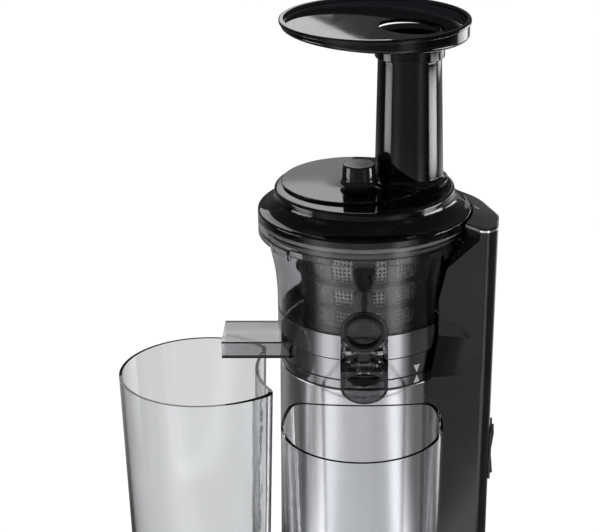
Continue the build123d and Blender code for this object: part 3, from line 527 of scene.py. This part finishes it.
# ---------------------------------------------------------------------------------------------
# Stage
# ---------------------------------------------------------------------------------------------
LIT_POINT = (0, 0, 0.22)
LAMPS = (  # name, place, width and height, watts
    ("left_soft_light", (-0.35, -1.75, 0.95), (0.9, 1.2), 9),
    ("right_soft_light", (1.75, 0.55, 0.85), (0.4, 1.2), 6),
    ("top_soft_light", (0.2, 0.1, 2.0), (1.6, 1.6), 9),
)
CARDS = (  # name, light, turn round the axis in degrees, distance, corners as (along, height)
    ("back_card", 1.8, 140, 1.05, (
        (-0.75, 0.669), (-0.06, 0.669), (0.03, 0.701), (0.06, 1.3), (-0.75, 1.3))),
    ("lid_fringe", 0.9, 140, 1.05, (
        (-0.20, 0.60), (-0.02, 0.60), (-0.02, 0.669), (-0.20, 0.669))),
)
SOFT_CARDS = (
    ("cap_fringe", 0.8, 140, 1.05, ((0.10, 0.50), (0.45, 0.50), (0.45, 0.68), (0.10, 0.68))),
    ("tube_left_card", 5.5, -119, 0.42, (
        (-0.13, 0.205), (0.13, 0.205), (0.13, 0.315), (-0.13, 0.315))),
    ("tube_right_card", 10.0, 48, 0.42, (
        (-0.14, 0.205), (0.14, 0.205), (0.14, 0.315), (-0.14, 0.315))),
    ("tray_right_card", 3.8, 88, 0.70, (
        (-0.25, 0.22), (0.20, 0.22), (0.20, 0.32), (-0.25, 0.32))),
)
FLOOR_FANS = (  # turn round the axis in degrees, strength of the floor's painted glow
    (-180, 0.30), (-160, 0.10), (-146, 0.02), (-120, 0.02), (-107, 0.15), (-98, 0.8),
    (-91, 1.5), (-80, 1.5), (-72, 0.9), (-62, 0.70), (-38, 0.70), (-28, 0.60), (-16, 0.60),
    (-12, 0.8), (-6, 1.7), (3, 1.8), (10, 0.6), (20, 0.05), (60, 0.10), (100, 1.2),
    (150, 0.10), (170, 0.30),
)
FAN_STRENGTH = 2.0
FAN_NEAR, FAN_FAR, FAN_FAR_SHARE = 0.9, 1.3, 0.3
FLOOR_SEEN, FLOOR_SEEN_THROUGH = 0.5, 0.32  # shares of FAN_STRENGTH
WORLD_SEEN, WORLD_SEEN_THROUGH, WORLD_LIGHT = 1.0, 0.64, 0.10
SENSOR, LENS, SIDE_SHIFT = 36, 105, -0.12
CAMERA_PLACE = (0.9058, -0.7531, 0.7115)
CAMERA_TURN = (math.radians(68.6), 0, math.radians(50))


def lamp(name, place, size, power):
    """A rectangular soft light that faces the machine and doesn't show in mirrors."""
    data = bpy.data.lights.new(name, "AREA")
    data.shape = "RECTANGLE"
    data.size, data.size_y = size
    data.energy = power
    made = bpy.data.objects.new(name, data)
    bpy.context.scene.collection.objects.link(made)
    made.location = place
    aim = np.array(LIT_POINT) - np.array(place)
    made.rotation_euler = Vector(aim).to_track_quat("-Z", "Y").to_euler()
    made.visible_glossy = False


def floor_paint():
    """Matt floor, white to the eye, that glows in painted fans of light round the axis, which the
    metal mirrors.
    """
    paint = Finish("floor_paint", (0.06, 0.06, 0.06), 0.6)
    paint.bump(paint.noise(40, 3), 0.02, 0.0002)
    # painted light: the floor's emission rises and falls in fans round the axis, in place of lit
    # patches of floor
    fans = paint.node("ShaderNodeTexGradient", gradient_type="RADIAL")
    paint.link(paint.place, fans.inputs["Vector"])
    ramp = paint.node("ShaderNodeValToRGB")
    stops = ramp.color_ramp.elements
    for number, (turn, light) in enumerate(FLOOR_FANS):
        place = turn / 360 + 0.5
        stop = stops.new(place) if number > 1 else stops[number]
        stop.position = place
        level = light / FAN_STRENGTH
        stop.color = (level, level, level, 1)
    paint.link(fans.outputs["Fac"], ramp.inputs["Fac"])
    distance = paint.node("ShaderNodeVectorMath", operation="LENGTH")
    paint.link(paint.place, distance.inputs[0])
    nearness = paint.spread(distance.outputs["Value"], 1.0, FAN_FAR_SHARE, FAN_NEAR, FAN_FAR)
    faded = paint.node("ShaderNodeVectorMath", operation="SCALE")
    paint.link(ramp.outputs["Color"], faded.inputs[0])
    paint.link(nearness, faded.inputs["Scale"])
    under = faded.outputs["Vector"]
    clear, direct = paint.ray_kinds()
    for factor, level in ((clear, FLOOR_SEEN_THROUGH), (direct, FLOOR_SEEN)):
        over = paint.node("ShaderNodeMix", data_type="RGBA")
        over.inputs[MIX_B].default_value = (level, level, level, 1)
        paint.link(factor, over.inputs[MIX_FACTOR])
        paint.link(under, over.inputs[MIX_A])
        under = over.outputs[MIX_RESULT]
    paint.link(under, paint.shader.inputs["Emission Color"])
    return paint.set(Emission_Strength=FAN_STRENGTH).material


def card(name, light, turn, away, corners, soft):
    """A card of light that only mirrors see, upright and facing the axis.

    A soft card fades as (1 - p^4)(1 - q^4), where p and q run from -1 to 1 across it.
    """
    turn = math.radians(turn)
    middle = away * Vector((math.cos(turn), math.sin(turn), 0))
    along = Vector((math.sin(turn), -math.cos(turn), 0))
    places = [middle + along * a + Vector((0, 0, height)) for a, height in corners]
    mesh = bpy.data.meshes.new(name)
    mesh.from_pydata(places, [], [range(len(corners))])
    paint = Finish(name + "_paint", (0, 0, 0), 1.0)
    paint.bump(paint.noise(5, 1), 0.01, 0.0001)
    paint.set(Emission_Color=(1, 1, 1, 1), Emission_Strength=light)
    if soft:
        across = mesh.uv_layers.new(name="across")
        across.uv.foreach_set("vector", [-1, -1, 1, -1, 1, 1, -1, 1])
        parts = paint.node("ShaderNodeSeparateXYZ")
        paint.link(paint.node("ShaderNodeTexCoord").outputs["UV"], parts.inputs[0])
        level = light
        for axis in "XY":
            fourth = paint.arithmetic("POWER", paint.arithmetic("ABSOLUTE", parts.outputs[axis]), 4)
            level = paint.arithmetic("MULTIPLY", paint.arithmetic("SUBTRACT", 1.0, fourth), level)
        paint.link(level, paint.shader.inputs["Emission Strength"])
    mesh.materials.append(paint.material)
    made = bpy.data.objects.new(name, mesh)
    bpy.context.scene.collection.objects.link(made)
    made.visible_camera = made.visible_diffuse = False
    made.visible_transmission = made.visible_shadow = False


def pale_world(scene):
    """White surroundings to the eye, dark grey as a source of light and in mirrors."""
    scene.world = scene.world or bpy.data.worlds.new("World")
    scene.world.use_nodes = True
    sky = Nodes(scene.world.node_tree)
    level = WORLD_LIGHT
    for factor, seen in zip(sky.ray_kinds(), (WORLD_SEEN_THROUGH, WORLD_SEEN)):
        level = sky.arithmetic("MULTIPLY_ADD", factor, seen - WORLD_LIGHT, level)
    background = sky.tree.nodes["Background"]
    sky.link(level, background.inputs["Strength"])
    background.inputs["Color"].default_value = (1, 1, 1, 1)


class JUICER_OT_stage(bpy.types.Operator):
    """Sets the floor, the soft light and the camera"""

    bl_idname = "juicer.stage"
    bl_label = "Stage"

    def execute(self, context):
        scene = context.scene
        scene.view_settings.view_transform = "Standard"
        half = scene.juicer_sizes.floor / 2
        corners = [(-half, -half, 0), (half, -half, 0), (half, half, 0), (-half, half, 0)]
        mesh = bpy.data.meshes.new("floor")
        mesh.from_pydata(corners, [], [(0, 1, 2, 3)])
        mesh.materials.append(floor_paint())
        floor = bpy.data.objects.new("floor", mesh)
        scene.collection.objects.link(floor)
        pale_world(scene)

        for values in LAMPS:
            lamp(*values)
        for values in CARDS:
            card(*values, soft=False)
        for values in SOFT_CARDS:
            card(*values, soft=True)

        data = bpy.data.cameras.new("camera")
        data.sensor_width = SENSOR
        data.lens = LENS
        data.shift_x = SIDE_SHIFT
        camera = bpy.data.objects.new("camera", data)
        camera.location = CAMERA_PLACE
        camera.rotation_euler = CAMERA_TURN
        scene.collection.objects.link(camera)
        scene.camera = camera
        return {"FINISHED"}


# ---------------------------------------------------------------------------------------------
# Pieces
# ---------------------------------------------------------------------------------------------
class JUICER_OT_base(bpy.types.Operator):
    """Finishes the motor base, the column, the metal bands and the rocker"""

    bl_idname = "juicer.base"
    bl_label = "Base and column"

    def execute(self, context):
        colours = context.scene.juicer_colours
        finish_nodes(satin_metal("satin_skin", colours.metal), "base_front_shell")
        chrome = dark_chrome("band_chrome", colours.bands)
        finish_nodes(chrome, "deck_band", "bowl_band", "bowl_foot_ring")
        black = lacquer_black("column_black", colours.column)
        finish_nodes(black, "base_rear_housing", "column_cap")
        finish_nodes(bright_strip("column_trim_bright", (0.8, 0.8, 0.82)), "column_trim")
        dark = grained_plastic("dark_moulding", (0.03, 0.03, 0.034), 0.42)
        finish_nodes(dark, "base_deck", "bottom_cover", "switch_frame", "interlock_switch")
        finish_nodes(soft_rubber("foot_rubber", (0.03, 0.03, 0.03)), "foot_ring", "cord_gland")
        finish_nodes(lacquer_black("rocker_black", (0.02, 0.02, 0.022)), "rocker_switch")
        return {"FINISHED"}


class JUICER_OT_drive(bpy.types.Operator):
    """Finishes the motor, the gears and other inner pieces, and winds wire on the coil heads"""

    bl_idname = "juicer.drive"
    bl_label = "Motor and gears"

    def execute(self, context):
        steel = turned_steel("machine_steel", (0.6, 0.6, 0.61))
        finish_nodes(
            steel, "case_screws", "chassis_posts", "motor_lower_plate", "motor_upper_plate",
            "motor_can", "idler_pin", "output_shaft", "cap_hinge_pin",
        )
        sheets = stacked_sheets("motor_sheets", (0.3, 0.3, 0.32))
        finish_nodes(sheets, "motor_stator", "motor_rotor")
        copper = wound_wire("copper_wire", (0.72, 0.36, 0.18))
        finish_nodes(copper, "motor_windings")
        for name, middle in (("lower_coil_turns", LOWER_COIL), ("upper_coil_turns", UPPER_COIL)):
            piece(name, *coil_turns(middle), copper, "base")
        finish_nodes(sand_cast("gearbox_alloy", (0.5, 0.5, 0.52)), "gearbox_case", "gearbox_lid")
        nylon = grained_plastic("gear_nylon", (0.8, 0.78, 0.7), 0.4)
        finish_nodes(nylon, "idler_gear", "brush_gear")
        finish_nodes(grained_plastic("capacitor_case", (0.7, 0.7, 0.68), 0.45), "capacitor")
        finish_nodes(soft_rubber("seal_silicone", (0.3, 0.3, 0.31)), "deck_seal")
        return {"FINISHED"}


class JUICER_OT_bowl(bpy.types.Operator):
    """Finishes the bowl with its spout, cap, chute, strainer, screw and brush"""

    bl_idname = "juicer.bowl"
    bl_label = "Bowl and screw"

    def execute(self, context):
        colours = context.scene.juicer_colours
        finish_nodes(smoked("bowl_smoke", colours.bowl), "bowl")
        finish_nodes(smoked("spout_smoke", shade(colours.bowl, 0.38)), "spout", "juice_cap")
        finish_nodes(smoked("chute_smoke", (0.66, 0.66, 0.67)), "chute")
        finish_nodes(grained_plastic("cage_black", (0.02, 0.02, 0.022), 0.3), "brush_frame")
        finish_nodes(grained_plastic("strainer_grey", (0.22, 0.22, 0.23), 0.35), "strainer_frame")
        steel = fine_steel("screen_steel", (0.78, 0.78, 0.79))
        finish_nodes(steel, "strainer_mesh")
        points, faces = punched_screen(context.scene.juicer_sizes.hole)
        screen = piece("strainer_screen", points, faces, steel, "bowl")
        sheet = screen.modifiers.new("sheet", "SOLIDIFY")
        sheet.thickness = SHEET
        sheet.offset = 0
        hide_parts("strainer_mesh")
        finish_nodes(grained_plastic("screw_black", colours.screw, 0.3), "screw")
        silicone = soft_rubber("wiper_silicone", (0.55, 0.55, 0.56))
        finish_nodes(silicone, "brush_wipers", "hub_seal", "lid_seal")
        finish_nodes(soft_rubber("black_silicone", (0.010, 0.010, 0.011), 0.0), "juice_cap_seal")
        return {"FINISHED"}


class JUICER_OT_lid(bpy.types.Operator):
    """Finishes the lid with its feed tube, the knob and the hopper tray"""

    bl_idname = "juicer.lid"
    bl_label = "Lid and tray"

    def execute(self, context):
        tint = context.scene.juicer_colours.lid
        finish_nodes(smoked("lid_smoke", tint), "lid")
        finish_nodes(smoked("tray_smoke", shade(tint, 0.25), gloss=0.35), "hopper_tray")
        finish_nodes(lacquer_black("knob_black", (0.012, 0.01, 0.014)), "lid_knob")
        return {"FINISHED"}


class JUICER_OT_cups(bpy.types.Operator):
    """Finishes the two clear cups"""

    bl_idname = "juicer.cups"
    bl_label = "Cups"

    def execute(self, context):
        clear = clear_plastic("cup_clear", context.scene.juicer_colours.cup)
        finish_nodes(clear, "juice_cup", "pulp_cup")
        return {"FINISHED"}


class JUICER_OT_marks(bpy.types.Operator):
    """Prints the two triangles at the bowl's seam and the two dashes where lid and column meet"""

    bl_idname = "juicer.marks"
    bl_label = "Printed marks"

    def execute(self, context):
        white = printed_white("mark_white", (0.9, 0.9, 0.9))
        high = context.scene.juicer_sizes.mark
        for name, body, tip, foot in (
            ("bowl_mark", "bowl", BOWL_TIP, BOWL_TIP + high),
            ("base_mark", "base", BASE_TIP, BASE_TIP - high),
        ):
            points, faces = triangle(tip, foot, MARK_TURN, MARK_RADIUS)
            piece(name, points, faces, white, body, smooth=False)
        piece("lid_tick", *dash("lid", *LID_TICK), white, "lid")
        piece("column_tick", *dash("column_cap", *COLUMN_TICK), white, "base")
        return {"FINISHED"}


# ---------------------------------------------------------------------------------------------
# Panel and main
# ---------------------------------------------------------------------------------------------
OPERATORS = (
    JUICER_OT_stage,
    JUICER_OT_base,
    JUICER_OT_drive,
    JUICER_OT_bowl,
    JUICER_OT_lid,
    JUICER_OT_cups,
    JUICER_OT_marks,
)


class JUICER_PT_sidebar(bpy.types.Panel):
    """Lists the juicer's steps in the sidebar"""

    bl_idname = "JUICER_PT_sidebar"
    bl_label = "Juicer"
    bl_space_type = "VIEW_3D"
    bl_region_type = "UI"
    bl_category = "Juicer"

    def draw(self, context):
        for group in (context.scene.juicer_colours, context.scene.juicer_sizes):
            for name in group.bl_rna.properties.keys():
                if name not in ("rna_type", "name"):
                    self.layout.prop(group, name)
        for step in OPERATORS:
            self.layout.operator(step.bl_idname)


def register():
    """Adds the settings, the steps and the panel."""
    for item in (JuicerColours, JuicerSizes, *OPERATORS, JUICER_PT_sidebar):
        bpy.utils.register_class(item)
    bpy.types.Scene.juicer_colours = bpy.props.PointerProperty(type=JuicerColours)
    bpy.types.Scene.juicer_sizes = bpy.props.PointerProperty(type=JuicerSizes)


def unregister():
    """Takes the settings, the steps and the panel away again."""
    del bpy.types.Scene.juicer_sizes
    del bpy.types.Scene.juicer_colours
    for item in (JUICER_PT_sidebar, *reversed(OPERATORS), JuicerSizes, JuicerColours):
        bpy.utils.unregister_class(item)


def main():
    """Runs every step in order."""
    register()
    for step in OPERATORS:
        group, name = step.bl_idname.split(".")
        getattr(getattr(bpy.ops, group), name)()


if __name__ == "__main__":
    main()
